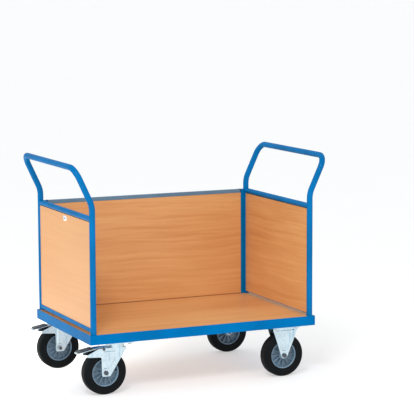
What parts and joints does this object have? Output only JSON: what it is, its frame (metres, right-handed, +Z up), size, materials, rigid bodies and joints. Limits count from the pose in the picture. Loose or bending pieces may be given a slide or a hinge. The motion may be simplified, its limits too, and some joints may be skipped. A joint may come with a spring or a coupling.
{
  "type": "platform trolley",
  "caption": "Three-sided platform trolley with a wood deck and wood walls on a tubular steel frame, push handles at both ends, braked swivel casters and fixed casters.",
  "frame": {"origin": "on the floor, under the middle of the base", "axes": "+X along the length towards the fixed casters, -Y towards the open loading side, +Y towards the rear wall, +Z up"},
  "size_m": [1.2526, 0.716, 1.0315],
  "materials": {
    "blue_powder_coat": "smooth semi-gloss powder coat, light blue",
    "beech_laminate": "beech-decor laminated board, satin",
    "grey_edge_profile": "grey-blue coated edge profile, satin",
    "black_plastic": "moulded black plastic, matt",
    "zinc_fastener": "zinc-plated steel",
    "bright_zinc_fork": "pressed sheet steel, bright zinc plated",
    "grey_blue_rim": "moulded grey-blue plastic",
    "black_rubber": "solid black rubber",
    "bearing_nylon": "natural nylon"
  },
  "bodies": {
    "trolley_frame": {"front_rail": "blue_powder_coat", "rear_rail": "blue_powder_coat", "left_end_rail": "blue_powder_coat", "right_end_rail": "blue_powder_coat", "caster_bearers": "blue_powder_coat", "centre_bearer": "blue_powder_coat", "corner_plates": "blue_powder_coat", "deck_board": "beech_laminate", "deck_screws": "zinc_fastener", "post_bolts": "zinc_fastener", "left_handle_frame": "blue_powder_coat", "right_handle_frame": "blue_powder_coat", "crossbars": "blue_powder_coat", "end_angles": "blue_powder_coat", "left_end_panel": "beech_laminate", "right_end_panel": "beech_laminate", "maker_badge": "zinc_fastener", "rear_wall_panel": "beech_laminate", "wall_cap": "grey_edge_profile", "cap_end_plugs": "black_plastic", "wall_channels": "blue_powder_coat", "caster_bolts": "zinc_fastener", "caster_nuts": "zinc_fastener", "swivel_top_plates": "bright_zinc_fork", "kingpins": "zinc_fastener", "swivel_balls": "zinc_fastener", "right_front_fork": "bright_zinc_fork", "right_rear_fork": "bright_zinc_fork", "fixed_axle_bolts": "zinc_fastener", "fixed_axle_nuts": "zinc_fastener", "fixed_axle_sleeves": "zinc_fastener"},
    "left_front_swivel": {"left_front_fork": "bright_zinc_fork", "left_front_pedal_pin": "zinc_fastener", "left_front_axle_bolt": "zinc_fastener", "left_front_axle_nut": "zinc_fastener", "left_front_axle_sleeve": "zinc_fastener"},
    "left_front_pedal": {"left_front_brake_lever": "bright_zinc_fork", "left_front_brake_tread": "black_plastic", "left_front_brake_shoe": "bright_zinc_fork"},
    "left_front_wheel": {"left_front_wheel_bearing": "bearing_nylon", "left_front_rim": "grey_blue_rim", "left_front_tyre": "black_rubber"},
    "right_front_wheel": {"right_front_wheel_bearing": "bearing_nylon", "right_front_rim": "grey_blue_rim", "right_front_tyre": "black_rubber"},
    "left_rear_swivel": {"left_rear_fork": "bright_zinc_fork", "left_rear_pedal_pin": "zinc_fastener", "left_rear_axle_bolt": "zinc_fastener", "left_rear_axle_nut": "zinc_fastener", "left_rear_axle_sleeve": "zinc_fastener"},
    "left_rear_pedal": {"left_rear_brake_lever": "bright_zinc_fork", "left_rear_brake_tread": "black_plastic", "left_rear_brake_shoe": "bright_zinc_fork"},
    "left_rear_wheel": {"left_rear_wheel_bearing": "bearing_nylon", "left_rear_rim": "grey_blue_rim", "left_rear_tyre": "black_rubber"},
    "right_rear_wheel": {"right_rear_wheel_bearing": "bearing_nylon", "right_rear_rim": "grey_blue_rim", "right_rear_tyre": "black_rubber"}
  },
  "joints": [
    {"name": "left_front_swivel_turn", "type": "hinge", "parent": "trolley_frame", "child": "left_front_swivel", "pos_m": [-0.415, -0.302, 0.2211], "axis": [0, 0, 1], "continuous": true},
    {"name": "left_front_pedal_press", "type": "hinge", "parent": "left_front_swivel", "child": "left_front_pedal", "pos_m": [-0.482, -0.302, 0.207], "axis": [0, -1, 0], "range_deg": [0, 10]},
    {"name": "left_front_wheel_spin", "type": "hinge", "parent": "left_front_swivel", "child": "left_front_wheel", "pos_m": [-0.473, -0.302, 0.1], "axis": [0, 1, 0], "continuous": true},
    {"name": "right_front_wheel_spin", "type": "hinge", "parent": "trolley_frame", "child": "right_front_wheel", "pos_m": [0.409, -0.302, 0.1], "axis": [0, 1, 0], "continuous": true},
    {"name": "left_rear_swivel_turn", "type": "hinge", "parent": "trolley_frame", "child": "left_rear_swivel", "pos_m": [-0.415, 0.302, 0.2211], "axis": [0, 0, 1], "continuous": true},
    {"name": "left_rear_pedal_press", "type": "hinge", "parent": "left_rear_swivel", "child": "left_rear_pedal", "pos_m": [-0.482, 0.302, 0.207], "axis": [0, -1, 0], "range_deg": [0, 10]},
    {"name": "left_rear_wheel_spin", "type": "hinge", "parent": "left_rear_swivel", "child": "left_rear_wheel", "pos_m": [-0.473, 0.302, 0.1], "axis": [0, 1, 0], "continuous": true},
    {"name": "right_rear_wheel_spin", "type": "hinge", "parent": "trolley_frame", "child": "right_rear_wheel", "pos_m": [0.409, 0.302, 0.1], "axis": [0, 1, 0], "continuous": true}
  ]
}
